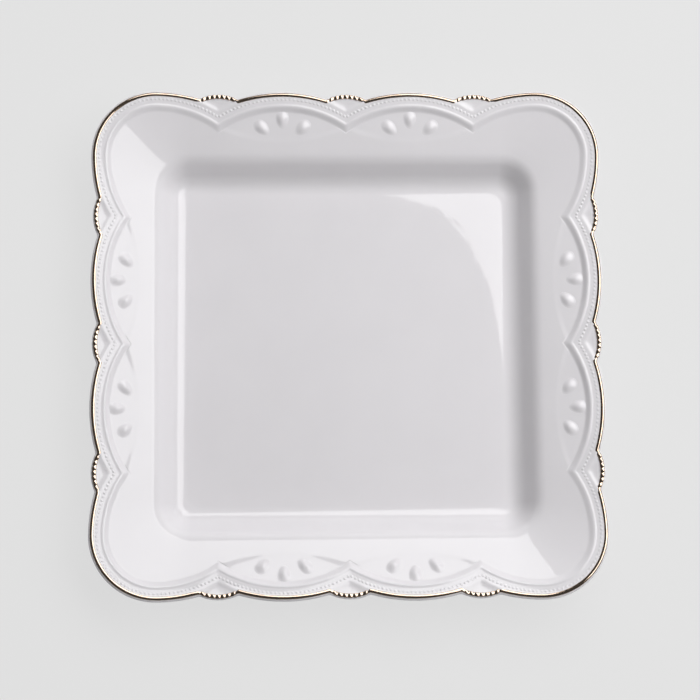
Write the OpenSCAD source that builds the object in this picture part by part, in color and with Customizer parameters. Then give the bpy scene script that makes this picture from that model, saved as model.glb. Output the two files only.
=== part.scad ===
// Square porcelain serving plate with a scalloped relief rim and a gilded edge.
// Millimetres. The plate lies flat: +Z up, origin under its centre, on the plane of its foot.

/* [Plate] */
// Width across the scallop crests
plate_w = 250; // [230:1:270]
// Width of the rim in plan, from the shoulder to the crests
rim_w = 32.5; // [30:0.5:35]
// Width of the well's wall in plan, from its foot to the shoulder
wall_w = 8.5; // [7:0.5:11]
// Radius of the well's corners, at the foot of the wall
well_corner_r = 7.5; // [5:0.5:12]
// Slope of the well's wall
wall_angle = 56; // [48:1:62]
// Slope of the rim
rim_angle = 18; // [12:1:22]
// Thickness of the floor
floor_t = 4.3; // [3.5:0.1:5.5]
// Thickness of the well's wall
wall_t = 4.5; // [3.5:0.1:5.5]
// Thickness of the rim
rim_t = 3.6; // [3:0.1:4.5]
// Radius between the floor and the wall
well_fillet = 10.5; // [6:0.5:12]
// Radius over the shoulder
shoulder_fillet = 10.5; // [5:0.5:14]

/* [Foot] */
// Height of the foot under the floor
foot_h = 2.2; // [1.5:0.1:3.5]
// Distance from the foot of the wall in to the foot's outer side
foot_inset = 9.5; // [7:0.5:16]
// Width of the foot's tread
foot_tread = 4.5; // [3:0.1:7]
// Radius of the foot's corners, on the outside
foot_corner_r = 14; // [10:0.5:20]
// Rounding of the tread's two edges
foot_edge_r = 1.1; // [0.5:0.1:1.4]

/* [Scalloped edge] */
// Radius of a scallop's arc
scallop_r = 77; // [70:1:85]
// Radius of a corner lobe's round
corner_r = 32.5; // [29:0.5:36]
// Width of a corner lobe's flank, from its point to its round
flank_w = 29.5; // [26:0.5:32]
// Radius of the arc over a point
tip_r = 21.5; // [18:0.5:25]
// How far a point stays behind the crests
tip_drop = 0.9; // [0.5:0.1:1.5]
// Number of ruffled teeth on a point
tooth_count = 7; // [5:1:9]
// Radius of a tooth
tooth_r = 1.3; // [1.2:0.1:1.6]
// Distance between teeth
tooth_pitch = 2.4; // [2:0.1:2.6]
// How far a tooth stands out of the edge
tooth_proud = 0.45; // [0.2:0.05:0.6]
// Thickness of the gilded band
gilt_t = 0.8; // [0.5:0.1:1.2]

/* [Ribs] */
// Distance from the edge's crest to the crest of an arch, along its inner line
rib_crest = 9.1; // [8.5:0.1:10]
// Distance from the edge's crest to the point where two arches meet
rib_point = 18.5; // [17:0.5:20]
// Width of a rib
rib_w = 4; // [3:0.1:4.4]
// Height of a rib
rib_h = 0.9; // [0.6:0.1:1.2]

/* [Pearls] */
// Distance from a rib's inner line to the row of pearls
pearl_line = 5.4; // [5.2:0.1:5.8]
// Distance between pearls in a row
pearl_pitch = 2; // [1.8:0.1:2.6]
// Diameter of a pearl
pearl_d = 1.4; // [1:0.1:1.6]

/* [Fan panels] */
// How far a panel's lower line sags below the points of its arch
panel_sag = 6.8; // [5:0.1:8]
// How far a panel's two ends stay clear of the points of its arch
panel_clear = 0.3; // [0.2:0.1:1]
// Depth of a panel under the crest of its arch
panel_depth = 0.8; // [0.4:0.1:1]
// Length of a petal
petal_l = 7.5; // [6:0.1:8]
// Width of a petal's blunt end
petal_w = 4.8; // [4:0.1:5.4]
// Width of a petal's narrow end
petal_tip_w = 2.6; // [2:0.1:3.5]
// Height of a petal
petal_h = 1.3; // [0.8:0.1:1.6]
// Distance from the fan's centre to the middle of a petal
fan_r = 14.3; // [13:0.1:15.5]
// Distance from the crest of the arch to the middle of the centre petal
fan_drop = 4.4; // [4.2:0.1:5]
// Angle between neighbouring petals
fan_step = 45; // [38:1:52]

/* [Shell scoops] */
// Distance from the edge's crest to the inner end of a scoop
scoop_reach = 9.4; // [9:0.1:9.6]
// Half the angle between a scoop's two sides
scoop_half_angle = 62; // [55:1:65]
// Slope of a scoop's floor, down to the edge
scoop_angle = 8; // [4:1:10]

/* [Hidden] */
$fn = 64;
fine = 200;

porcelain = [0.93, 0.92, 0.93];
bare_clay = [0.86, 0.83, 0.78];
gold = [0.66, 0.48, 0.22];

// Lines of the plan, from the centre
crest = plate_w / 2;
shoulder = crest - rim_w;
well_edge = shoulder - wall_w;
well_axis = well_edge - well_corner_r;
foot_edge = well_edge - foot_inset;
corner_c = crest - corner_r;

// Distance between neighbouring points of the edge: two scallops and a corner's flank to each half side
scallop_pitch = corner_c - flank_w;
half_pitch = scallop_pitch / 2;

// Heights of the top surface
floor_z = foot_h + floor_t;
shoulder_z = floor_z + wall_w * tan(wall_angle);
function rim_z(r) = shoulder_z + (r - shoulder) * tan(rim_angle);
edge_z = rim_z(crest) - rim_t / cos(rim_angle);

// Spare width of the rim outside the edge, and spare angle of an arch past its foot, both cut away
edge_spare = 15;
arch_spare = 4;
rim_end = crest + edge_spare;

// The underside's wall starts at the foot of its own slope and meets the rim's underside
under_foot = [well_corner_r + (wall_t - floor_t * cos(wall_angle)) / sin(wall_angle), foot_h];
under_rim_z = shoulder_z - rim_t / cos(rim_angle);
under_run = (under_rim_z - foot_h + (under_foot.x + well_axis - shoulder) * tan(rim_angle))
            / (tan(wall_angle) - tan(rim_angle));
under_shoulder = under_foot + under_run * [1, tan(wall_angle)];

// Arches in the plane of a side's rim, whose own Y runs up the slope from the shoulder
function up_slope(r) = (r - shoulder) / cos(rim_angle);
arch_top = up_slope(crest - rib_crest);
arch_foot = up_slope(crest - rib_point);
edge_run = up_slope(crest) - rim_t * tan(rim_angle);
function arc_radius(half_chord, rise) = (half_chord * half_chord + rise * rise) / (2 * rise);
arch_r = arc_radius(half_pitch, arch_top - arch_foot);

// Arches of a corner lobe: a round corner between two flatter flanks
lobe_r = corner_r - rib_crest;
flank_r = arc_radius(flank_w, rib_point - rib_crest);

// The lobe's arch lies in a plane through its two feet and its corner
lobe_foot_run = (crest - rib_point - corner_c - flank_w) / sqrt(2);
lobe_tip_z = rim_z(well_axis + (corner_c - well_axis) * sqrt(2) + lobe_r);
lobe_slope = atan((lobe_tip_z - rim_z(crest - rib_point)) / (lobe_r - lobe_foot_run));
lobe_z = rim_z(crest - rib_point) - lobe_foot_run * tan(lobe_slope);

// The rim climbs across that plane, so the arch's section leans with it
lobe_top = [corner_c - well_axis, corner_c + lobe_r - well_axis];
lobe_lean = atan(lobe_top.y / norm(lobe_top) * tan(rim_angle) - tan(lobe_slope) / sqrt(2));

// Fan panel: its floor starts level with the rim at the lower line and sinks towards the arch
panel_foot = arch_foot - panel_sag;
panel_r = arc_radius(half_pitch, panel_sag);
panel_angle = atan(panel_depth / (arch_top - panel_foot));

// Room above and below a surface for cuts
over = 3;
cut_top = rim_z(rim_end) + over;

// How far two surfaces that would only touch are moved, so that they cross or stay clear
nip = 0.02;

// How far the sliver of a rounding laps past its corner
sliver_lap = 0.5;

// Four straight sides and four round corners of a profile, whose X starts at the corner axis
module sweep_square(axis) {
    for (k = [0:3]) {
        rotate(90 * k) {
            translate([axis, axis, 0]) {
                rotate([90, 0, 0])
                    linear_extrude(2 * axis)
                        children();
                rotate_extrude(angle = 90)
                    children();
            }
        }
    }
}

// Sliver between a corner and the arc that rounds it, lapped past the corner; u and v are its edges' directions
module round_sliver(p, u, v, r) {
    half = abs(v - u) / 2;
    mid = (u + v) / 2;
    to_mid = [cos(mid), sin(mid)];
    reach = r / tan(half);
    difference() {
        polygon([p - sliver_lap * to_mid, p + reach * [cos(u), sin(u)], p + reach * [cos(v), sin(v)]]);
        translate(p + r / sin(half) * to_mid)
            circle(r);
    }
}

// Section through the floor, wall and rim, from the corner axis outwards
module plate_profile() {
    well_foot = [well_corner_r, floor_z];
    shoulder_top = [shoulder - well_axis, shoulder_z];
    end = rim_end - well_axis;
    difference() {
        union() {
            polygon([
                [0, floor_z], well_foot, shoulder_top, [end, rim_z(rim_end)],
                [end, rim_z(rim_end) - rim_t / cos(rim_angle)], under_shoulder, under_foot, [0, foot_h]
            ]);
            round_sliver(well_foot, 180, wall_angle, well_fillet);
            round_sliver(under_shoulder, 180 + wall_angle, 360 + rim_angle, shoulder_fillet);
        }
        round_sliver(shoulder_top, 180 + wall_angle, 360 + rim_angle, shoulder_fillet);
        round_sliver(under_foot, 180, wall_angle, well_fillet);
    }
}

// The plate before its edge is trimmed, with a floor slab that laps into the flat of the swept profile
module blank() {
    flat = well_corner_r - well_fillet * tan(wall_angle / 2);
    floor_half = well_axis + flat / 2;
    sweep_square(well_axis)
        plate_profile();
    translate([-floor_half, -floor_half, foot_h])
        cube([2 * floor_half, 2 * floor_half, floor_t]);
}

// Disc whose side is square to the rim's slope
module edge_disc(at, r) {
    translate([at.x, at.y, 0])
        cylinder(h = cut_top, r1 = r + edge_z * tan(rim_angle), r2 = r - (cut_top - edge_z) * tan(rim_angle));
}

// Everything inside the scalloped edge, drawn in by an inset
module outline(inset) {
    scallop_y = crest - scallop_r;
    for (k = [0:3]) {
        rotate(90 * k) {
            edge_disc([corner_c, corner_c], corner_r - inset);
            for (s = [-1, 1]) {
                edge_disc([s * half_pitch, scallop_y], scallop_r - inset);
                intersection() {
                    edge_disc([s * corner_c, scallop_y], scallop_r - inset);
                    translate([s > 0 ? half_pitch : -corner_c, 0, 0])
                        cube([corner_c - half_pitch, crest + over, cut_top]);
                }
            }
            for (j = [-1:1])
                edge_disc([j * scallop_pitch, crest - tip_drop - tip_r], tip_r - inset);
        }
    }
    translate([-corner_c, -corner_c, 0])
        cube([2 * corner_c, 2 * corner_c, cut_top]);
}

// Plane of one side's rim: X along the side, Y up the slope from the shoulder, Z out of the surface
module on_rim(side) {
    rotate(90 * side)
        translate([0, shoulder, shoulder_z])
            rotate([rim_angle, 0, 0])
                children();
}

// Floor of a side panel: Y runs from its lower line towards the arch
module on_panel(s) {
    translate([s * half_pitch, panel_foot, 0])
        rotate([-panel_angle, 0, 0])
            children();
}

// Sunken fan panel between an arch and its lower line
module panel_cut(s) {
    intersection() {
        translate([s * half_pitch, 0, -over])
            linear_extrude(2 * over)
                intersection() {
                    translate([0, arch_top - arch_r])
                        circle(arch_r);
                    translate([0, panel_foot + panel_clear + panel_r])
                        circle(panel_r);
                }
        on_panel(s)
            translate([-half_pitch, -over, 0])
                cube([scallop_pitch, rib_point + panel_sag + 2 * over, 2 * over]);
    }
}

// Shallow cone that scoops out a point, with its inner end just clear of the rim
module scoop_cut(j) {
    tilt = atan((cos(scoop_angle) - cos(scoop_half_angle)) / sin(scoop_angle));
    cone_angle = tilt + scoop_angle;
    translate([j * scallop_pitch, up_slope(crest - scoop_reach), nip])
        rotate([tilt - 90, 0, 0])
            cylinder(h = over, r1 = 0, r2 = over * tan(cone_angle));
}

module scoop_cuts() {
    for (side = [0:3])
        on_rim(side)
            for (j = [-1:1])
                scoop_cut(j);
}

module plate_body() {
    color(porcelain)
        difference() {
            intersection() {
                blank();
                outline(gilt_t);
            }
            for (side = [0:3])
                on_rim(side)
                    for (s = [-1, 1])
                        panel_cut(s);
            scoop_cuts();
        }
}

module foot_ring() {
    axis = foot_edge - foot_corner_r;
    color(bare_clay)
        sweep_square(axis)
            translate([foot_corner_r - foot_tread, 0])
                difference() {
                    square([foot_tread, foot_h]);
                    round_sliver([0, 0], 0, 90, foot_edge_r);
                    round_sliver([foot_tread, 0], 180, 90, foot_edge_r);
                }
}

// Ruffled teeth along the arc of a point, tall enough to be cut to the rim
module tip_teeth(j) {
    arc_r = tip_r + tooth_proud - tooth_r;
    step = tooth_pitch / arc_r * 180 / PI;
    translate([j * scallop_pitch, edge_run - tip_drop - tip_r, -rim_t - over])
        for (i = [0:tooth_count - 1])
            rotate(step * (i - (tooth_count - 1) / 2))
                translate([0, arc_r, 0])
                    cylinder(h = rim_t + 2 * over, r = tooth_r);
}

// Outer strip of the rim, at its full thickness
module edge_strip() {
    inner = crest - rib_point;
    depth = rim_t / cos(rim_angle);
    sweep_square(well_axis)
        translate([-well_axis, 0])
            polygon([[inner, rim_z(inner)], [rim_end, rim_z(rim_end)],
                     [rim_end, rim_z(rim_end) - depth], [inner, rim_z(inner) - depth]]);
}

module gilt_edge() {
    color(gold)
        difference() {
            intersection() {
                edge_strip();
                union() {
                    outline(0);
                    for (side = [0:3])
                        on_rim(side)
                            for (j = [-1:1])
                                tip_teeth(j);
                }
            }
            outline(gilt_t);
            scoop_cuts();
        }
}

// Section of a rib, a low round back on a footing of the given depth, from its inner line outwards
module rib_section(depth) {
    back_r = arc_radius(rib_w / 2, rib_h);
    translate([rib_w / 2, 0])
        intersection() {
            translate([0, rib_h - back_r])
                circle(back_r);
            translate([-rib_w / 2, -depth])
                square([rib_w, rib_h + depth]);
        }
}

// Part of a ring with a rib's section, between two directions
module rib_arc(r, from, to, depth = 0, lean = 0) {
    rotate(from)
        rotate_extrude(angle = to - from)
            translate([r, 0])
                rotate(lean)
                    rib_section(depth);
}

module side_ribs() {
    sweep = asin(half_pitch / arch_r) + arch_spare;
    color(porcelain)
        for (side = [0:3])
            on_rim(side)
                for (s = [-1, 1])
                    translate([s * half_pitch, 0, 0])
                        intersection() {
                            translate([0, arch_top - arch_r, 0])
                                rib_arc(arch_r, 90 - sweep, 90 + sweep);
                            translate([-half_pitch, 0, -over])
                                cube([scallop_pitch, rim_end, 2 * over]);
                        }
}

// Plane of a corner lobe's arch, about the lobe's centre
module on_lobe() {
    translate([corner_c, corner_c, lobe_z])
        rotate(45)
            rotate([0, -lobe_slope, 0])
                rotate(-45)
                    children();
}

// The round corner of a lobe's arch, with a footing that reaches into the rim
module lobe_round() {
    on_lobe()
        rib_arc(lobe_r, 0, 90, rib_h, lobe_lean);
}

// The flatter flank of a lobe's arch on the +Y side, with the same footing
module lobe_flank() {
    sweep = asin(flank_w / flank_r) + arch_spare;
    on_lobe()
        translate([0, lobe_r - flank_r, 0])
            rib_arc(flank_r, 90, 90 + sweep, rib_h, lobe_lean);
}

// Room over the rim where it turns round a corner, a cone about the corner axis
module over_corner() {
    run = 2 * (rim_end - shoulder);
    start_r = shoulder - well_axis;
    translate([well_axis, well_axis, shoulder_z])
        cylinder(h = run * tan(rim_angle), r1 = start_r, r2 = start_r + run);
}

// Length of a lobe's flank where the rim turns round the corner
module flank_near() {
    intersection() {
        lobe_flank();
        over_corner();
        translate([well_axis, well_axis, 0])
            cube(rim_end - well_axis);
    }
}

// Length of a lobe's flank on the straight side, out to the point where two arches meet
module flank_far() {
    intersection() {
        lobe_flank();
        on_rim(0)
            translate([scallop_pitch, 0, 0])
                cube([well_axis - scallop_pitch, rim_end - shoulder, over]);
    }
}

// Each length is cut to the surface under it, and they are joined from the round outwards
module corner_ribs() {
    $fn = fine;
    color(porcelain)
        for (k = [0:3])
            rotate(90 * k) {
                intersection() {
                    lobe_round();
                    over_corner();
                }
                for (m = [0, 1])
                    mirror([m, -m, 0])
                        flank_near();
                for (m = [0, 1])
                    mirror([m, -m, 0])
                        flank_far();
            }
}

// Round pearl, a half ball on the surface
module pearl() {
    rotate_extrude()
        intersection() {
            circle(d = pearl_d);
            square(pearl_d);
        }
}

module side_pearls() {
    row_r = arch_r + pearl_line;
    reach = asin(half_pitch / row_r);
    count = round(2 * reach / 360 * 2 * PI * row_r / pearl_pitch);
    color(porcelain)
        for (side = [0:3])
            on_rim(side)
                for (s = [-1, 1])
                    for (i = [0:count - 1]) {
                        a = reach * (2 * (i + 0.5) / count - 1);
                        translate([s * half_pitch + row_r * sin(a), arch_top - arch_r + row_r * cos(a), 0])
                            pearl();
                    }
}

// Pearl on the rim's surface at a point of a corner lobe
module lobe_pearl(p) {
    d = p - [well_axis, well_axis];
    in_corner = min(d) > 0;
    run = in_corner ? norm(d) : max(d);
    heading = in_corner ? atan2(d.y, d.x) : (d.x > d.y ? 0 : 90);
    translate([p.x, p.y, rim_z(well_axis + run)])
        rotate([0, -rim_angle, heading])
            pearl();
}

module corner_pearls() {
    line = pearl_line * cos(rim_angle);
    round_r = lobe_r + line;
    round_count = round(90 / 360 * 2 * PI * round_r / pearl_pitch);
    row_r = flank_r + line;
    reach = asin(flank_w / row_r);
    flank_count = round(reach / 360 * 2 * PI * row_r / pearl_pitch);
    color(porcelain)
        for (k = [0:3])
            rotate(90 * k) {
                for (i = [0:round_count - 1]) {
                    a = 90 * (i + 0.5) / round_count;
                    lobe_pearl([corner_c, corner_c] + round_r * [cos(a), sin(a)]);
                }
                for (i = [0:flank_count - 1]) {
                    a = reach * (i + 0.5) / flank_count;
                    along = corner_c - row_r * sin(a);
                    out = corner_c + lobe_r - flank_r + row_r * cos(a);
                    lobe_pearl([along, out]);
                    lobe_pearl([out, along]);
                }
            }
}

// Drop with a blunt outer end, cut flat where it lies on its panel
module petal() {
    blunt_r = arc_radius(petal_w / 2, petal_h);
    sink = blunt_r - petal_h;
    narrow_r = norm([petal_tip_w / 2, sink]);
    blunt_y = (petal_l - petal_w) / 2;
    narrow_y = (petal_tip_w - petal_l) / 2;
    lean = asin((blunt_r - narrow_r) / (blunt_y - narrow_y));
    side = [cos(lean), -sin(lean)];
    translate([0, 0, -sink])
        intersection() {
            rotate([-90, 0, 0])
                rotate_extrude()
                    intersection() {
                        union() {
                            translate([0, blunt_y])
                                circle(blunt_r);
                            translate([0, narrow_y])
                                circle(narrow_r);
                            polygon([[0, blunt_y], [0, narrow_y],
                                     [0, narrow_y] + (narrow_r - nip) * side,
                                     [0, blunt_y] + (blunt_r - nip) * side]);
                        }
                        translate([0, -petal_l])
                            square([petal_l, 2 * petal_l]);
                    }
            translate([-petal_l, -petal_l, sink])
                cube([2 * petal_l, 2 * petal_l, petal_h]);
        }
}

module petal_drops() {
    color(porcelain)
        for (side = [0:3])
            on_rim(side)
                for (s = [-1, 1])
                    on_panel(s)
                        translate([0, arch_top - panel_foot - fan_drop - fan_r, 0])
                            for (i = [-1:1])
                                rotate(-fan_step * i)
                                    translate([0, fan_r, 0])
                                        petal();
}

plate_body();
foot_ring();
gilt_edge();
side_ribs();
corner_ribs();
side_pearls();
corner_pearls();
petal_drops();
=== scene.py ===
"""Looks of a square porcelain serving plate with a scalloped relief rim and a gilded edge."""

import math

import bpy
import numpy as np
from mathutils import Matrix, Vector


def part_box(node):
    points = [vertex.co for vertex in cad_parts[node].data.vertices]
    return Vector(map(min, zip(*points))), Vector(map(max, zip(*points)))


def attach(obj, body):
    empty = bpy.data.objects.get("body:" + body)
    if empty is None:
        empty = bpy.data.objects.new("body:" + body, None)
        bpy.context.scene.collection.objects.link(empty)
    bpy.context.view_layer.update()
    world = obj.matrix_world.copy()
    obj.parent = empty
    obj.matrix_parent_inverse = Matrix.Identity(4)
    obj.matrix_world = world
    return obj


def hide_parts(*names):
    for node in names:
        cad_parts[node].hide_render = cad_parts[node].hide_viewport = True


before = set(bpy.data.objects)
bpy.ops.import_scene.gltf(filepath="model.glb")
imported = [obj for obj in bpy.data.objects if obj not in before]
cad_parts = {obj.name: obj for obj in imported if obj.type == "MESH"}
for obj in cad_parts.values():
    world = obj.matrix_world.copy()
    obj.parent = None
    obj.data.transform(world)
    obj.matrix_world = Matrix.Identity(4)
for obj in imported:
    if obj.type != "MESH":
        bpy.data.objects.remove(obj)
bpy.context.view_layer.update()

# Sizes in millimetres, as the solids have them
MM = 0.001
CREST = round(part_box("gilt_edge")[1].x / MM, 1)
FOOT_H = round(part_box("foot_ring")[1].z / MM, 1)
RIM_W = 32.5
WALL_W = 8.5
WELL_CORNER_R = 7.5
FLOOR_T = 4.3
WALL_T = 4.5
RIM_T = 3.6
WELL_FILLET = 10.5
SHOULDER_FILLET = 10.5
WALL_SLOPE = math.radians(56)
RIM_SLOPE = math.radians(18)
SCALLOP_R = 77.0
CORNER_R = 32.5
FLANK_W = 29.5
TIP_R = 21.5
TIP_DROP = 0.9
RIB_CREST = 9.1
RIB_POINT = 18.5
PEARL_LINE = 5.4
PEARL_PITCH = 2.0
PEARL_R = 0.7
PANEL_SAG = 6.8
PANEL_CLEAR = 0.3
PANEL_DEPTH = 0.8
PETAL_L = 7.5
PETAL_W = 4.8
FAN_R = 14.3
FAN_DROP = 4.4
FAN_STEP = math.radians(45)
SCOOP_REACH = 9.4
SCOOP_HALF_ANGLE = math.radians(62)
TOOTH_COUNT = 7
TOOTH_PITCH = 2.4

# Softness of the edge, its lip and the band inside it, in millimetres
EDGE_R = 1.6
EDGE_CLEAR = 0.15
POINT_SHARP = 5.0
LIP_H = 0.2
LIP_FLAT = 0.9
BAND_W = 6.5
BAND_H = 0.46
BAND_FALL = 0.08

# Softness of the ribs: a step up from the panels to a round crest
STEP_IN = -1.2
STEP_RUN = 2.3
STEP_H = 0.72
STEP_EASE = 0.35
CREST_RUN = 1.2

# Softness of the panels and the shell scoops
CREASE = 0.8
PANEL_SOFT = 3.0
PANEL_FADE = 3.0
CORNER_BAY = 8.0
MITRE = 0.15
MITRE_SHARP = 25.0
SCOOP_DEPTH = 1.0
SCOOP_RUN = 1.0
SCOOP_SOFT = 0.25
SCOOP_LIMIT = 40

# Softness of the well's floor
FLOOR_SWELL = 0.15
FLOOR_FLATNESS = 16
FLOOR_CORNER_R = 7.0
FLOOR_CORNER_RUN = 2.5
FLOOR_CORNER_H = 0.14

# Petals that run into the panel, lower than the solids have them
PETAL_H = 1.15
PETAL_SOFT = 1.6
PETAL_FALL = 2.1
PETAL_TUCK = 0.25
EGG_SHAPE = 0.16

# A pearl's heights and widths from its skirt up, as shares of its radius
PEARL_PROFILE = ((-0.3, 1.4), (-0.05, 1.2), (0.06, 0.98), (0.16, 0.72), (0.25, 0.4))
PEARL_TOP = 0.29

# The gilding: a thin film over the edge, with low teeth
GILT_IN = 0.6
GILT_OUT = math.radians(46)
GILT_T = 0.05
GILT_LAP = 0.04
GILT_TURN = math.radians(2)
GILT_TUCK = 0.06
GILT_CORE = 0.3
GILT_CORE_SHARES = (0.7, 0.2)
TOOTH_PROUD = 0.35
TOOTH_FADE = 4
TOOTH_ROUND = 0.8

# Spacing of the lines across the rim, in millimetres
BODY_STEP = 1.08
GILT_STEP = 0.35

# Places of the rings: offsets from the ribs' line in millimetres, and shares of a stretch
BAND_OFFSETS = (5.2, 4.4, 3.5, 3.3, 3.1, 2.9, 2.7, 2.5, STEP_RUN)
PANEL_SHARES = (0.03, 0.07, 0.12, 0.2, 0.3, 0.4, 0.5, 0.6, 0.7, 0.8, 0.87, 0.92, 0.96, 1.0)
SHOULDER_SHARES = (0.3, 0.65, 1.0)
FLOOR_SHARES = (0.99, 0.98, 0.97, 0.96, 0.945, 0.93, 0.915, 0.9, 0.86, 0.82, 0.77, 0.7, 0.6, 0.4, 0.2)
UNDER_SHARES = (0.3, 0.65)
BASE_SHARES = (0.9, 0.6, 0.3)
PETAL_SHARES = (0.0, 0.25, 0.45, 0.6, 0.72, 0.82, 0.9, 0.96, 1.0, 1.04)

# Counts of rings and of points round the small forms
LIP_COUNT = 11
STEP_COUNT = 10
EDGE_COUNT = 13
GILT_COUNT = 8
SHOULDER_COUNT = 6
WELL_COUNT = 10
BASE_COUNT = 8
PEARL_TURNS = 10
PETAL_TURNS = 28

# Places worked out from those sizes
COS, SIN, TAN = math.cos(RIM_SLOPE), math.sin(RIM_SLOPE), math.tan(RIM_SLOPE)
SHOULDER = CREST - RIM_W
WELL_EDGE = SHOULDER - WALL_W
AXIS = WELL_EDGE - WELL_CORNER_R
CORNER_C = CREST - CORNER_R
PITCH = CORNER_C - FLANK_W
HALF_PITCH = PITCH / 2
FLOOR_Z = FOOT_H + FLOOR_T
SHOULDER_Z = FLOOR_Z + WALL_W * math.tan(WALL_SLOPE)
RIM_DROP = RIM_T / COS


# Sums that the shapes share

def rim_z(r):
    """Height of the rim's plain top surface at a distance from the middle."""
    return SHOULDER_Z + (r - SHOULDER) * TAN


def up_slope(r):
    """Distance up the rim's slope from the shoulder."""
    return (r - SHOULDER) / COS


def arc_radius(half_chord, rise):
    """Radius of the arc over a chord."""
    return (half_chord ** 2 + rise ** 2) / (2 * rise)


def smooth(t):
    """Smooth step from 0 to 1."""
    t = np.clip(t, 0, 1)
    return t * t * (3 - 2 * t)


def eased(t, ease):
    """Straight ramp from 0 to 1 with a short round at each end."""
    rate = 1 / (1 - ease)
    t = np.clip(t, 0, 1)
    near = rate * t ** 2 / (2 * ease)
    far = 1 - rate * (1 - t) ** 2 / (2 * ease)
    return np.where(t < ease, near, np.where(t > 1 - ease, far, rate * (t - ease / 2)))


def soft_max(sharp, *values):
    """The largest of several values, with a soft change from one to the next."""
    return np.log(sum(np.exp(sharp * value) for value in values)) / sharp


def middles(count):
    """Middles of equal parts of the stretch from 0 to 1."""
    return (np.arange(count) + 0.5) / count


# Radii and heights of the relief's lines

ARCH_TOP = up_slope(CREST - RIB_CREST)
ARCH_FOOT = up_slope(CREST - RIB_POINT)
ARCH_R = arc_radius(HALF_PITCH, ARCH_TOP - ARCH_FOOT)
LOBE_R = CORNER_R - RIB_CREST
FLANK_R = arc_radius(FLANK_W, RIB_POINT - RIB_CREST)
PANEL_FOOT = ARCH_FOOT - PANEL_SAG
PANEL_R = arc_radius(HALF_PITCH, PANEL_SAG)
PANEL_TILT = PANEL_DEPTH / (ARCH_TOP - PANEL_FOOT)
BEND = SHOULDER + SHOULDER_FILLET * math.tan((WALL_SLOPE - RIM_SLOPE) / 2) * COS


# Lines across the rim of one quarter: a side and the corner after it

def quarter(step):
    """Lines across the rim, about a step apart at the edge, by their feet and directions in plan.
    x is the place of a side's line along the side, and phi the turn of a corner's line."""
    stops = [AXIS, PITCH, 0, -PITCH, -AXIS]
    x = []
    for a, b in zip(stops, stops[1:]):
        x.extend(np.linspace(a, b, math.ceil((a - b) / step), endpoint=False))
    x = np.array(x)
    edge_run = math.pi / 2 * ((CORNER_C - AXIS) * math.sqrt(2) + CORNER_R)
    phi = np.linspace(0, math.pi / 2, math.ceil(edge_run / step), endpoint=False)
    side_foot = np.stack([x, np.full_like(x, AXIS)], 1)
    side_out = np.tile([0.0, 1.0], (len(x), 1))
    corner_foot = np.tile([-AXIS, AXIS], (len(phi), 1))
    corner_out = np.stack([-np.sin(phi), np.cos(phi)], 1)
    foot = np.concatenate([side_foot, corner_foot])
    out = np.concatenate([side_out, corner_out])
    return {"x": x, "phi": phi, "foot": foot, "out": out}


def side_only(q, values):
    """Values for the side's lines, with 0 for the corner's."""
    return np.concatenate([values, np.zeros(len(q["phi"]))])


def ray_to_circle(phi, centre, radius):
    """How far a ray from the corner axis runs to a circle, whose centre is given from that axis."""
    along = np.sin(phi) * centre[0] + np.cos(phi) * centre[1]
    return along + np.sqrt(radius ** 2 - centre[0] ** 2 - centre[1] ** 2 + along ** 2)


def lobe_line(q, lobe_r, flank_r, flank_y):
    """Radius of a line round a corner lobe: a round between two flanks."""
    lobe = CORNER_C - AXIS
    flank = flank_y - AXIS
    phi = q["phi"]
    to_round = ray_to_circle(phi, (lobe, lobe), lobe_r)
    to_near = ray_to_circle(phi, (lobe, flank), flank_r)
    to_far = ray_to_circle(phi, (flank, lobe), flank_r)
    run = np.where(to_far * np.cos(phi) < lobe, to_far, to_round)
    return AXIS + np.where(to_near * np.sin(phi) < lobe, to_near, run)


def rib_line(q, offset):
    """Radius of the line at an offset outside the ribs' inner line."""
    ax = np.abs(q["x"])
    arch = np.sqrt((ARCH_R + offset) ** 2 - (np.minimum(ax, PITCH) - HALF_PITCH) ** 2)
    on_arch = SHOULDER + COS * (ARCH_TOP - ARCH_R + arch)
    flank_r = FLANK_R + offset * COS
    flank_y = CREST - RIB_CREST - FLANK_R
    flank = flank_y + np.sqrt(flank_r ** 2 - (CORNER_C - np.maximum(ax, PITCH)) ** 2)
    side = np.where(ax <= PITCH, on_arch, flank)
    return np.concatenate([side, lobe_line(q, LOBE_R + offset * COS, flank_r, flank_y)])


def nearest_tip(x):
    """Distance along the side from the nearest point of the edge."""
    return x - PITCH * np.clip(np.round(x / PITCH), -1, 1)


def edge_line(q):
    """Radius of the scalloped edge."""
    x = q["x"]
    ax = np.abs(x)
    scallop_y = CREST - SCALLOP_R
    scallop = scallop_y + np.sqrt(SCALLOP_R ** 2 - (ax - HALF_PITCH) ** 2)
    flank = scallop_y + np.sqrt(np.maximum(SCALLOP_R ** 2 - (ax - CORNER_C) ** 2, 0))
    tip_y = CREST - TIP_DROP - TIP_R
    tip = tip_y + np.sqrt(TIP_R ** 2 - np.minimum(np.abs(nearest_tip(x)), TIP_R) ** 2)
    side = CREST + soft_max(POINT_SHARP, scallop - CREST, flank - CREST, tip - CREST)
    return np.concatenate([side, lobe_line(q, CORNER_R, SCALLOP_R, scallop_y)])


def band_height(offset):
    """Height outside the step: over the rib's round crest, then gently down towards the edge."""
    crest = (STEP_H - BAND_H) * (1 - smooth((offset - STEP_RUN) / CREST_RUN))
    return float(BAND_H + crest - BAND_FALL * max(offset - STEP_RUN, 0))


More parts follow.
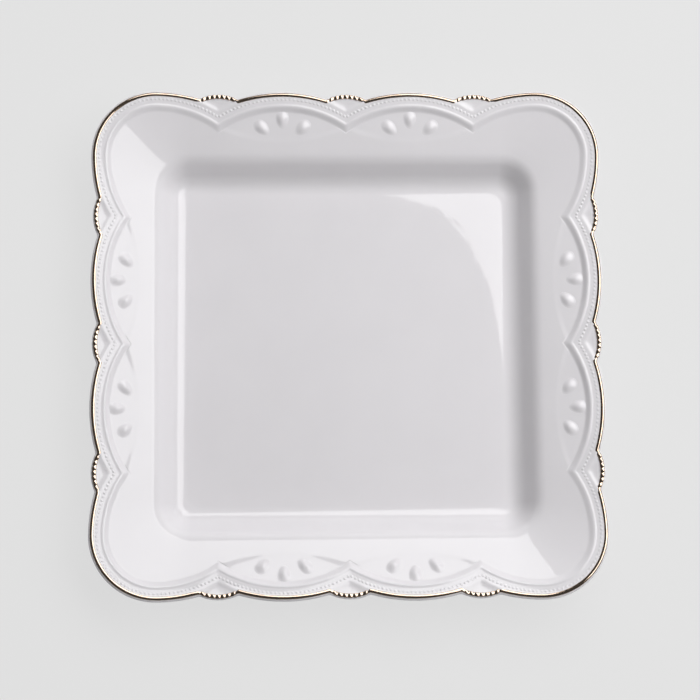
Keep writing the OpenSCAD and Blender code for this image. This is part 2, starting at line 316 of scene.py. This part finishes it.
def panel_line(q, inner):
    """Radius of the panels' lower line, kept inside the rib. In a corner it swings in at the diagonal."""
    x = q["x"]
    ax = np.minimum(np.abs(x), PITCH)
    low = PANEL_FOOT + PANEL_CLEAR + PANEL_R - np.sqrt(PANEL_R ** 2 - (ax - HALF_PITCH) ** 2)
    side = SHOULDER + COS * low
    corner = inner[len(x):] - CREASE - CORNER_BAY * np.sin(2 * q["phi"])
    return np.minimum(np.concatenate([side, corner]), inner - CREASE)


def panel_depth(x, r):
    """Depth of a side panel's floor, which fades at the points of its arch."""
    fade = smooth((HALF_PITCH - np.abs(np.abs(x) - HALF_PITCH)) / PANEL_FADE)
    return fade * np.maximum(up_slope(r) - PANEL_FOOT, 0) * PANEL_TILT


def side_depth(q, r):
    """Depth of the side panels on all lines; 0 round the corner."""
    x = q["x"]
    return side_only(q, panel_depth(x, r[:len(x)]))


def corner_depth(q, r):
    """Depth of the corner panels, which fall to a soft mitre line on the diagonal; 0 along the sides."""
    phi = q["phi"]
    count = len(q["x"])
    level = soft_max(MITRE_SHARP, np.cos(phi), np.sin(phi))
    depth = MITRE * SIN * np.maximum(r[count:] - BEND, 0) * np.maximum(1 - level, 0)
    return np.concatenate([np.zeros(count), depth])


def scoop_depth(q, r):
    """Depth of the shell scoops at the points of the edge; 0 round the corner."""
    x = q["x"]
    dx = np.abs(nearest_tip(x))
    dy = up_slope(r[:len(x)]) - up_slope(CREST - SCOOP_REACH)
    inside = dy * math.sin(SCOOP_HALF_ANGLE) - dx * math.cos(SCOOP_HALF_ANGLE)
    inside = SCOOP_SOFT * np.log1p(np.exp(np.clip(inside / SCOOP_SOFT, -SCOOP_LIMIT, SCOOP_LIMIT)))
    return side_only(q, SCOOP_DEPTH * (1 - np.exp(-inside / SCOOP_RUN)))


# Surface points

def on_rim(q, r, h):
    """Points on the rim at radius r, lifted by h square to its slope."""
    run = (r - AXIS - h * SIN)[:, None]
    plan = q["foot"] + run * q["out"]
    return np.column_stack([plan, rim_z(r) + h * COS])


def on_level(q, r, z):
    """Points at one radius and height all round."""
    plan = q["foot"] + (r - AXIS) * q["out"]
    return np.column_stack([plan, np.full(len(plan), z)])


def edge_section(q):
    """Centre and half thickness of the rounded edge, worked out from the relief that runs into it."""
    edge = edge_line(q)
    top = LIP_H - scoop_depth(q, edge - EDGE_R - RIM_T / 2 * SIN)
    half_t = (RIM_T + top) / 2
    reach = np.sqrt((EDGE_R * COS) ** 2 + (half_t * SIN) ** 2)
    centre = edge - reach
    return {"top": top, "half_t": half_t, "centre": centre, "start": centre - half_t * SIN}


def edge_point(q, e, along, across):
    """Points of the rounded edge from its centre: along runs up the rim's slope, and across square to it."""
    plan = q["foot"] + (e["centre"] - AXIS + along * COS - across * SIN)[:, None] * q["out"]
    surface = rim_z(e["start"]) + e["top"] * COS - e["half_t"] * COS
    return np.column_stack([plan, surface + along * SIN + across * COS])


def fillet(before, corner, after, radius, count):
    """Points on the arc that rounds a corner of a section."""
    p0, p, p1 = (np.array(v, float) for v in (before, corner, after))
    u = (p0 - p) / np.linalg.norm(p0 - p)
    v = (p1 - p) / np.linalg.norm(p1 - p)
    half = math.acos(np.clip(u @ v, -1, 1)) / 2
    mid = (u + v) / np.linalg.norm(u + v)
    centre = p + mid * radius / math.sin(half)
    a = p + u * radius / math.tan(half) - centre
    b = p + v * radius / math.tan(half) - centre
    sweep = math.acos(np.clip(a @ b / radius ** 2, -1, 1))
    t = np.linspace(0, 1, count)[:, None]
    return centre + (a * np.sin((1 - t) * sweep) + b * np.sin(t * sweep)) / math.sin(sweep)


# Rings of the body

def lip_rings(q, e, outer):
    """Rings from the edge in, over the lip and the shell scoops, to the band."""
    start = e["start"]
    fall_run = np.maximum(start - outer - LIP_FLAT, LIP_FLAT)
    rings = [on_rim(q, start, e["top"])]
    for t in np.linspace(0, 1, LIP_COUNT)[1:]:
        r = start + (outer - start) * t
        slope = smooth((start - r - LIP_FLAT) / fall_run)
        lip = LIP_H + (band_height(BAND_W) - LIP_H) * slope
        rings.append(on_rim(q, r, lip - scoop_depth(q, r)))
    return rings


def step_rings(q, rib_in):
    """Rings from the rib's crest down to the floor of the panels."""
    depth = side_depth(q, rib_in) + corner_depth(q, rib_in)
    rings = []
    for t in np.linspace(1, 0, STEP_COUNT)[1:]:
        r = rib_line(q, STEP_IN + (STEP_RUN - STEP_IN) * t)
        rings.append(on_rim(q, r, (STEP_H + depth) * eased(t, STEP_EASE) - depth))
    return rings


def panel_rings(q, rib_in):
    """Rings over the panels and on to the shoulder."""
    low = panel_line(q, rib_in)
    rings = []
    for t in PANEL_SHARES:
        r = rib_in + (low - rib_in) * t
        depth = side_depth(q, r) * smooth((r - low) / PANEL_SOFT)
        rings.append(on_rim(q, r, -depth - corner_depth(q, r)))
    for t in SHOULDER_SHARES:
        r = low + (BEND - low) * t
        rings.append(on_rim(q, r, -corner_depth(q, r)))
    return rings


def rim_rings(q):
    """Rings over the top of the rim, from the edge in to the shoulder."""
    e = edge_section(q)
    limit = e["start"] - EDGE_CLEAR
    rings = lip_rings(q, e, np.minimum(rib_line(q, BAND_W), limit))
    for offset in BAND_OFFSETS:
        r = np.minimum(rib_line(q, offset), limit)
        rings.append(on_rim(q, r, band_height(offset)))
    rib_in = rib_line(q, STEP_IN)
    return rings + step_rings(q, rib_in) + panel_rings(q, rib_in)


def corner_fill(plan, half):
    """Height that the glaze adds in the corners of the well's floor."""
    past = np.maximum(np.abs(plan) - half + FLOOR_CORNER_R, 0)
    return FLOOR_CORNER_H * smooth((np.linalg.norm(past, axis=1) - FLOOR_CORNER_R) / FLOOR_CORNER_RUN)


def well_rings(q):
    """Rings down the wall and over the floor of the well."""
    rim = (CREST, rim_z(CREST))
    shoulder = (SHOULDER, SHOULDER_Z)
    foot = (WELL_EDGE, FLOOR_Z)
    floor = (AXIS, FLOOR_Z)
    section = [*fillet(rim, shoulder, foot, SHOULDER_FILLET, SHOULDER_COUNT)[1:],
               *fillet(shoulder, foot, floor, WELL_FILLET, WELL_COUNT)]
    rings = [on_level(q, r, z) for r, z in section]
    edge = rings[-1].copy()
    half = edge[:, 1].max()
    for ring in rings:
        ring[:, 2] = np.maximum(ring[:, 2], FLOOR_Z + corner_fill(ring[:, :2], half))
    for share in FLOOR_SHARES:
        plan = edge[:, :2] * share
        swell = FLOOR_SWELL * np.prod(1 - (plan / half) ** FLOOR_FLATNESS, axis=1)
        rings.append(np.column_stack([plan, FLOOR_Z + swell + corner_fill(plan, half)]))
    return rings


def under_section():
    """Section of the underside, from the shoulder in to the flat base."""
    slope = math.tan(WALL_SLOPE)
    foot_r = WELL_EDGE + (WALL_T - FLOOR_T * math.cos(WALL_SLOPE)) / math.sin(WALL_SLOPE)
    meet = (SHOULDER_Z - RIM_DROP - FOOT_H + foot_r * slope - SHOULDER * TAN) / (slope - TAN)
    rim = (CREST, rim_z(CREST) - RIM_DROP)
    shoulder = (meet, FOOT_H + (meet - foot_r) * slope)
    foot = (foot_r, FOOT_H)
    base = (AXIS, FOOT_H)
    return [*fillet(rim, shoulder, foot, SHOULDER_FILLET, SHOULDER_COUNT),
            *fillet(shoulder, foot, base, WELL_FILLET, BASE_COUNT)]


def under_rings(q):
    """Rings round the edge and over the underside, in towards the middle."""
    e = edge_section(q)
    rings = []
    for psi in np.linspace(0, math.pi, EDGE_COUNT)[1:]:
        rings.append(edge_point(q, e, EDGE_R * math.sin(psi), e["half_t"] * math.cos(psi)))
    section = under_section()
    inner = section[0][0]
    last = e["centre"] + e["half_t"] * SIN
    for t in UNDER_SHARES:
        r = last + (inner - last) * t
        plan = q["foot"] + (r - AXIS)[:, None] * q["out"]
        rings.append(np.column_stack([plan, rim_z(r) - RIM_DROP]))
    rings.extend(on_level(q, r, z) for r, z in section)
    for share in BASE_SHARES:
        rings.append(rings[-1] * (share, share, 1))
    return rings


# Meshes

def all_round(points):
    """Points or directions of one quarter, repeated in all four."""
    x, y, z = points.T
    turns = [(x, y), (-y, x), (-x, -y), (y, -x)]
    return np.concatenate([np.column_stack([a, b, z]) for a, b in turns])


def ring_faces(count, size, closed=False):
    """Quads between neighbouring rings of points."""
    faces = []
    for k in range(count if closed else count - 1):
        a, b = k * size, (k + 1) % count * size
        faces.extend([(a + i, a + (i + 1) % size, b + (i + 1) % size, b + i) for i in range(size)])
    return faces


def closed_stack(rings, first_end, last_end):
    """Points and faces of a stack of rings that runs to a point at both ends."""
    count, size = len(rings), len(rings[0])
    points = np.concatenate([*rings, [first_end, last_end]])
    faces = ring_faces(count, size)
    tip = count * size
    last = tip - size
    for i in range(size):
        j = (i + 1) % size
        faces.append((tip, j, i))
        faces.append((last + i, last + j, tip + 1))
    return points, faces


def joined(forms):
    """Points and faces of several forms as one mesh."""
    points, faces = [], []
    start = 0
    for form_points, form_faces in forms:
        points.append(form_points)
        faces.extend(tuple(start + i for i in face) for face in form_faces)
        start += len(form_points)
    return np.concatenate(points), faces


def new_piece(name, points, faces, material):
    """An object from points in millimetres, with smooth faces."""
    mesh = bpy.data.meshes.new(name)
    mesh.from_pydata((np.asarray(points) * MM).tolist(), [], faces)
    mesh.shade_smooth()
    mesh.update()
    mesh.materials.append(material)
    piece = bpy.data.objects.new(name, mesh)
    bpy.context.scene.collection.objects.link(piece)
    return piece


def make_body(material):
    """The body with its ribs, one closed skin from the middle of the underside to the middle of the well."""
    q = quarter(BODY_STEP)
    rings = under_rings(q)[::-1] + rim_rings(q) + well_rings(q)
    base = (0, 0, FOOT_H)
    floor = (0, 0, FLOOR_Z + FLOOR_SWELL)
    points, faces = closed_stack([all_round(ring) for ring in rings], base, floor)
    return new_piece("body_glazed", points, faces, material)


def tooth_rise(q):
    """How far the ruffled teeth stand out along the points of the edge, from 0 to 1."""
    phase = nearest_tip(q["x"]) / TOOTH_PITCH
    within = smooth((TOOTH_COUNT / 2 - np.abs(phase)) * TOOTH_FADE)
    return side_only(q, within * np.abs(np.cos(math.pi * phase)) ** TOOTH_ROUND)


def gilt_section():
    """Section of the gilding: places along the rim, turns round the edge and heights over the porcelain."""
    section = [(-GILT_IN - GILT_LAP, 0.0, -GILT_TUCK), (-GILT_IN, 0.0, GILT_T), (-GILT_IN / 2, 0.0, GILT_T)]
    for psi in np.linspace(0, GILT_OUT, GILT_COUNT):
        section.append((EDGE_R * math.sin(psi), psi, GILT_T))
    last = GILT_OUT + GILT_TURN
    section.append((EDGE_R * math.sin(last), last, -GILT_TUCK))
    for share in GILT_CORE_SHARES:
        psi = GILT_OUT * share
        section.append((EDGE_R * math.sin(psi), psi, -GILT_CORE))
    return section


def make_gilding(material):
    """The gilded line over the rounded edge, with the teeth at its points."""
    q = quarter(GILT_STEP)
    e = edge_section(q)
    proud = TOOTH_PROUD * tooth_rise(q)
    rings = []
    for along, psi, height in gilt_section():
        swell = height
        if height > 0:
            swell = height + proud
        across = (e["half_t"] + swell) * math.cos(psi)
        rings.append(all_round(edge_point(q, e, along + swell * math.sin(psi), across)))
    faces = ring_faces(len(rings), len(rings[0]), closed=True)
    return new_piece("gilded_edge", np.concatenate(rings), [f[::-1] for f in faces], material)


def side_point(x, y, h):
    """Points of the side's rim plane: x along it, y up its slope, h out of it."""
    return np.column_stack([x, SHOULDER + y * COS - h * SIN, SHOULDER_Z + y * SIN + h * COS])


def pearl_dome():
    """Points and faces of a pearl's dome, with a skirt below its foot, as shares of its radius."""
    a = 2 * math.pi * np.arange(PEARL_TURNS) / PEARL_TURNS
    rings = []
    for height, width in PEARL_PROFILE:
        rings.append(np.column_stack([width * np.cos(a), width * np.sin(a), np.full(PEARL_TURNS, height)]))
    skirt = PEARL_PROFILE[0][0]
    return closed_stack(rings, (0, 0, skirt), (0, 0, PEARL_TOP))


def pearls(name, places, normals, material):
    """Domes at places on the rim, standing along its normals."""
    dome, faces = pearl_dome()
    forms = []
    for place, normal in zip(places, normals):
        u = np.cross(normal, (1, 0, 0))
        u /= np.linalg.norm(u)
        v = np.cross(normal, u)
        points = place + PEARL_R * (dome[:, :1] * u + dome[:, 1:2] * v + dome[:, 2:] * normal)
        forms.append((points, faces))
    return new_piece(name, *joined(forms), material)


def make_side_pearls(material):
    """Rows of pearls along the side scallops, on arcs outside the arched ribs."""
    row_r = ARCH_R + PEARL_LINE
    reach = math.asin(HALF_PITCH / row_r)
    count = round(2 * reach * row_r / PEARL_PITCH)
    a = reach * (2 * middles(count) - 1)
    x = np.concatenate([s * HALF_PITCH + row_r * np.sin(a) for s in (-1, 1)])
    y = np.tile(ARCH_TOP - ARCH_R + row_r * np.cos(a), 2)
    places = side_point(x, y, band_height(PEARL_LINE))
    normals = np.tile((0, -SIN, COS), (len(x), 1))
    return pearls("side_pearl_rows", all_round(places), all_round(normals), material)


def make_corner_pearls(material):
    """Rows of pearls round the corner lobes: a quarter round between two flanks."""
    line = PEARL_LINE * COS
    round_r = LOBE_R + line
    a = math.pi / 2 * middles(round(math.pi / 2 * round_r / PEARL_PITCH))
    lobe = CORNER_C + round_r * np.column_stack([np.cos(a), np.sin(a)])
    row_r = FLANK_R + line
    reach = math.asin(FLANK_W / row_r)
    a = reach * middles(round(reach * row_r / PEARL_PITCH))
    along = CORNER_C - row_r * np.sin(a)
    out = CORNER_C + LOBE_R - FLANK_R + row_r * np.cos(a)
    plan = np.concatenate([lobe, np.column_stack([along, out]), np.column_stack([out, along])])
    d = np.maximum(plan - AXIS, 0)
    run = np.linalg.norm(d, axis=1)
    heading = d / run[:, None]
    normals = np.column_stack([-SIN * heading, np.full(len(plan), COS)])
    places = np.column_stack([plan, rim_z(AXIS + run)]) + band_height(PEARL_LINE) * normals
    return pearls("corner_pearl_rows", all_round(places), all_round(normals), material)


def petal_rows(side, turn):
    """Rings of one petal from its top out: side is -1 or 1 for the panel, turn its direction in the fan."""
    a = 2 * math.pi * np.arange(PETAL_TURNS) / PETAL_TURNS
    mid_x = side * HALF_PITCH + FAN_R * math.sin(turn)
    mid_y = ARCH_TOP - FAN_DROP - FAN_R + FAN_R * math.cos(turn)
    rows = []
    for share in PETAL_SHARES:
        u = share * (PETAL_W + PETAL_SOFT) / 2 * np.sin(a) * (1 + EGG_SHAPE * np.cos(a))
        v = share * (PETAL_L + PETAL_SOFT) / 2 * np.cos(a)
        x = mid_x + u * math.cos(turn) + v * math.sin(turn)
        y = mid_y - u * math.sin(turn) + v * math.cos(turn)
        rise = PETAL_H * max(1 - share ** 2, 0) ** PETAL_FALL
        if share > 1:
            rise -= PETAL_TUCK
        rows.append(side_point(x, y, rise - panel_depth(x, SHOULDER + y * COS)))
    return rows


def make_petals(material):
    """Raised drops, three in a fan on each side panel, that run smoothly into the panel's floor."""
    forms = []
    for side in (-1, 1):
        for place in (-1, 0, 1):
            rows = petal_rows(side, FAN_STEP * place)
            forms.append(closed_stack(rows[1:], rows[0].mean(0), rows[-1].mean(0)))
    points, faces = joined(forms)
    sides = np.split(all_round(points), 4)
    return new_piece("petal_fans", *joined((side, faces) for side in sides), material)


# Materials

def new_material(name):
    """A material with its shader and node tree ready."""
    material = bpy.data.materials.new(name)
    material.use_nodes = True
    tree = material.node_tree
    return material, tree, tree.nodes["Principled BSDF"]


def noise(tree, scale, detail=3.0):
    """A noise pattern in the object's own coordinates."""
    where = tree.nodes.new("ShaderNodeTexCoord")
    node = tree.nodes.new("ShaderNodeTexNoise")
    node.inputs["Scale"].default_value = scale
    node.inputs["Detail"].default_value = detail
    tree.links.new(where.outputs["Object"], node.inputs["Vector"])
    return node.outputs["Fac"]


def ramp(tree, factor, low, high, start=0.3, end=0.7):
    """Two colours mixed by a pattern."""
    node = tree.nodes.new("ShaderNodeValToRGB")
    node.color_ramp.elements[0].color = (*low, 1)
    node.color_ramp.elements[1].color = (*high, 1)
    node.color_ramp.elements[0].position = start
    node.color_ramp.elements[1].position = end
    tree.links.new(factor, node.inputs["Fac"])
    return node.outputs["Color"]


def spread(tree, factor, low, high):
    """A number that a pattern moves between two values."""
    node = tree.nodes.new("ShaderNodeMapRange")
    node.inputs["To Min"].default_value = low
    node.inputs["To Max"].default_value = high
    tree.links.new(factor, node.inputs["Value"])
    return node.outputs["Result"]


def bump(tree, shader, factor, height):
    """Fine unevenness of a surface, in metres."""
    node = tree.nodes.new("ShaderNodeBump")
    node.inputs["Strength"].default_value = 1.0
    node.inputs["Distance"].default_value = height
    tree.links.new(factor, node.inputs["Height"])
    tree.links.new(node.outputs["Normal"], shader.inputs["Normal"])


def glazed_porcelain():
    """Cool white porcelain under a clear gloss glaze that is a little uneven."""
    material, tree, shader = new_material("glazed_porcelain")
    colour = ramp(tree, noise(tree, scale=40), low=(0.824, 0.804, 0.828), high=(0.840, 0.820, 0.844))
    tree.links.new(colour, shader.inputs["Base Color"])
    roughness = spread(tree, noise(tree, scale=90), low=0.02, high=0.04)
    tree.links.new(roughness, shader.inputs["Roughness"])
    shader.inputs["IOR"].default_value = 1.47
    bump(tree, shader, noise(tree, scale=75, detail=2.0), height=0.00004)
    return material


def gilding():
    """Brown gold under a bright clear coat."""
    material, tree, shader = new_material("gilding")
    colour = ramp(tree, noise(tree, scale=300), low=(0.34, 0.235, 0.155), high=(0.44, 0.315, 0.215))
    tree.links.new(colour, shader.inputs["Base Color"])
    shader.inputs["Metallic"].default_value = 1.0
    shader.inputs["Coat Weight"].default_value = 1.0
    shader.inputs["Coat IOR"].default_value = 2.2
    shader.inputs["Coat Roughness"].default_value = 0.04
    roughness = spread(tree, noise(tree, scale=700), low=0.05, high=0.14)
    tree.links.new(roughness, shader.inputs["Roughness"])
    bump(tree, shader, noise(tree, scale=900, detail=2.0), height=0.00002)
    return material


def bare_porcelain():
    """Unglazed, matt and slightly warm porcelain of the foot."""
    material, tree, shader = new_material("bare_porcelain")
    colour = ramp(tree, noise(tree, scale=260, detail=6.0), low=(0.70, 0.67, 0.62), high=(0.78, 0.75, 0.70))
    tree.links.new(colour, shader.inputs["Base Color"])
    roughness = spread(tree, noise(tree, scale=600), low=0.55, high=0.8)
    tree.links.new(roughness, shader.inputs["Roughness"])
    bump(tree, shader, noise(tree, scale=2500, detail=4.0), height=0.00004)
    return material


def pale_floor():
    """A matt floor that shows the camera an even pale tone with a faint shadow."""
    material, tree, shader = new_material("pale_floor")
    colour = ramp(tree, noise(tree, scale=3), low=(0.80, 0.80, 0.80), high=(0.82, 0.82, 0.82))
    tree.links.new(colour, shader.inputs["Base Color"])
    shader.inputs["Roughness"].default_value = 0.8
    glow = tree.nodes.new("ShaderNodeEmission")
    glow.inputs["Color"].default_value = (0.78, 0.78, 0.78, 1)
    path = tree.nodes.new("ShaderNodeLightPath")
    share = spread(tree, path.outputs["Is Camera Ray"], low=0.0, high=0.86)
    mix = tree.nodes.new("ShaderNodeMixShader")
    tree.links.new(share, mix.inputs["Fac"])
    tree.links.new(shader.outputs["BSDF"], mix.inputs[1])
    tree.links.new(glow.outputs["Emission"], mix.inputs[2])
    tree.links.new(mix.outputs["Shader"], tree.nodes["Material Output"].inputs["Surface"])
    return material


# Pieces

glaze = glazed_porcelain()
gold = gilding()
clay = bare_porcelain()

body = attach(make_body(glaze), "root")
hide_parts("plate_body", "side_ribs", "corner_ribs")

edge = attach(make_gilding(gold), "root")
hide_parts("gilt_edge")

for piece, node in ((make_side_pearls(glaze), "side_pearls"), (make_corner_pearls(glaze), "corner_pearls"),
                    (make_petals(glaze), "petal_drops")):
    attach(piece, "root")
    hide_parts(node)

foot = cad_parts["foot_ring"]
foot.data.materials.clear()
foot.data.materials.append(clay)

# Floor

FLOOR_HALF = 2500.0
corners = [(-FLOOR_HALF, -FLOOR_HALF, 0), (FLOOR_HALF, -FLOOR_HALF, 0), (FLOOR_HALF, FLOOR_HALF, 0),
           (-FLOOR_HALF, FLOOR_HALF, 0)]
floor = new_piece("floor", corners, [(0, 1, 2, 3)], pale_floor())

# Light of the room: its strengths, and the heights between which the pale ring fades, as a direction's z

ROOM_DARK = 0.08
RING_LEVEL = 0.15
RING_LEAN = (0.1, 0.155, 0.0)
RING_ENDS = 0.76
RING_TOP = 0.6
RING_FULL = 0.2


def maths(tree, operation, *values):
    """The result of a maths node on values that are numbers or other nodes' outputs."""
    node = tree.nodes.new("ShaderNodeMath")
    node.operation = operation
    for socket, value in zip(node.inputs, values):
        if isinstance(value, bpy.types.NodeSocket):
            tree.links.new(value, socket)
        else:
            socket.default_value = value
    return node.outputs["Value"]


def room_light():
    """A dim room with a pale ring round its horizon, stronger on one side and at both ends of y."""
    world = bpy.data.worlds.new("room")
    bpy.context.scene.world = world
    world.use_nodes = True
    tree = world.node_tree
    where = tree.nodes.new("ShaderNodeTexCoord").outputs["Generated"]
    split = tree.nodes.new("ShaderNodeSeparateXYZ")
    tree.links.new(where, split.inputs["Vector"])
    ring = tree.nodes.new("ShaderNodeMapRange")
    ring.interpolation_type = "SMOOTHSTEP"
    ring.inputs["From Min"].default_value = RING_TOP
    ring.inputs["From Max"].default_value = RING_FULL
    tree.links.new(split.outputs["Z"], ring.inputs["Value"])
    lean = tree.nodes.new("ShaderNodeVectorMath")
    lean.operation = "DOT_PRODUCT"
    lean.inputs[1].default_value = RING_LEAN
    tree.links.new(where, lean.inputs[0])
    level = maths(tree, "ADD", lean.outputs["Value"], RING_LEVEL)
    across = maths(tree, "POWER", split.outputs["Y"], 2.0)
    strength = maths(tree, "MULTIPLY_ADD", across, RING_ENDS, level)
    total = maths(tree, "MULTIPLY_ADD", strength, ring.outputs["Result"], ROOM_DARK)
    sky = tree.nodes["Background"]
    sky.inputs["Color"].default_value = (1, 1, 1, 1)
    tree.links.new(total, sky.inputs["Strength"])


room_light()

# Lamps, in metres: both hang at one height and lie on one heading from the middle of the plate

LAMP_HEIGHT = 1.25
LAMP_HEADING = math.radians(36)


def area_light(name, near, aside, size, power):
    """A soft rectangular lamp that looks straight down: near is its near edge's distance from the middle
    on the heading, and aside its middle's place across it."""
    data = bpy.data.lights.new(name, "AREA")
    data.shape = "RECTANGLE"
    data.size, data.size_y = size
    data.energy = power
    lamp = bpy.data.objects.new(name, data)
    lamp.visible_camera = False
    bpy.context.scene.collection.objects.link(lamp)
    middle = (near + size[1] / 2, aside, LAMP_HEIGHT)
    place = Matrix.Translation(middle) @ Matrix.Rotation(math.pi / 2, 4, "Z")
    lamp.matrix_world = Matrix.Rotation(LAMP_HEADING, 4, "Z") @ place


area_light("key", near=0.322, aside=0.13, size=(2.0, 1.16), power=27.6)
area_light("wing", near=0.217, aside=-0.45, size=(0.5, 0.105), power=0.61)

# Camera, as the photograph was taken: turns in radians, places in millimetres

FRAME_PX = 700
FOCAL_PX = 2200.0
SENSOR_W = 36.0
TURN_X = -0.1488
TURN_Y = 0.0375
TURN_Z = 0.0090
AIM = (-1.05, 3.19, -1072.1)
AIM_Z = 23.65

lens = bpy.data.cameras.new("camera")
lens.sensor_width = SENSOR_W
lens.lens = FOCAL_PX * SENSOR_W / FRAME_PX
camera = bpy.data.objects.new("camera", lens)
bpy.context.scene.collection.objects.link(camera)
turn = Matrix.Rotation(TURN_Z, 4, "Z") @ Matrix.Rotation(TURN_X, 4, "X") @ Matrix.Rotation(TURN_Y, 4, "Y")
view = Matrix.Translation([v * MM for v in AIM]) @ turn @ Matrix.Translation((0, 0, -AIM_Z * MM))
camera.matrix_world = view.inverted()
bpy.context.scene.camera = camera
bpy.context.scene.view_settings.view_transform = "Standard"
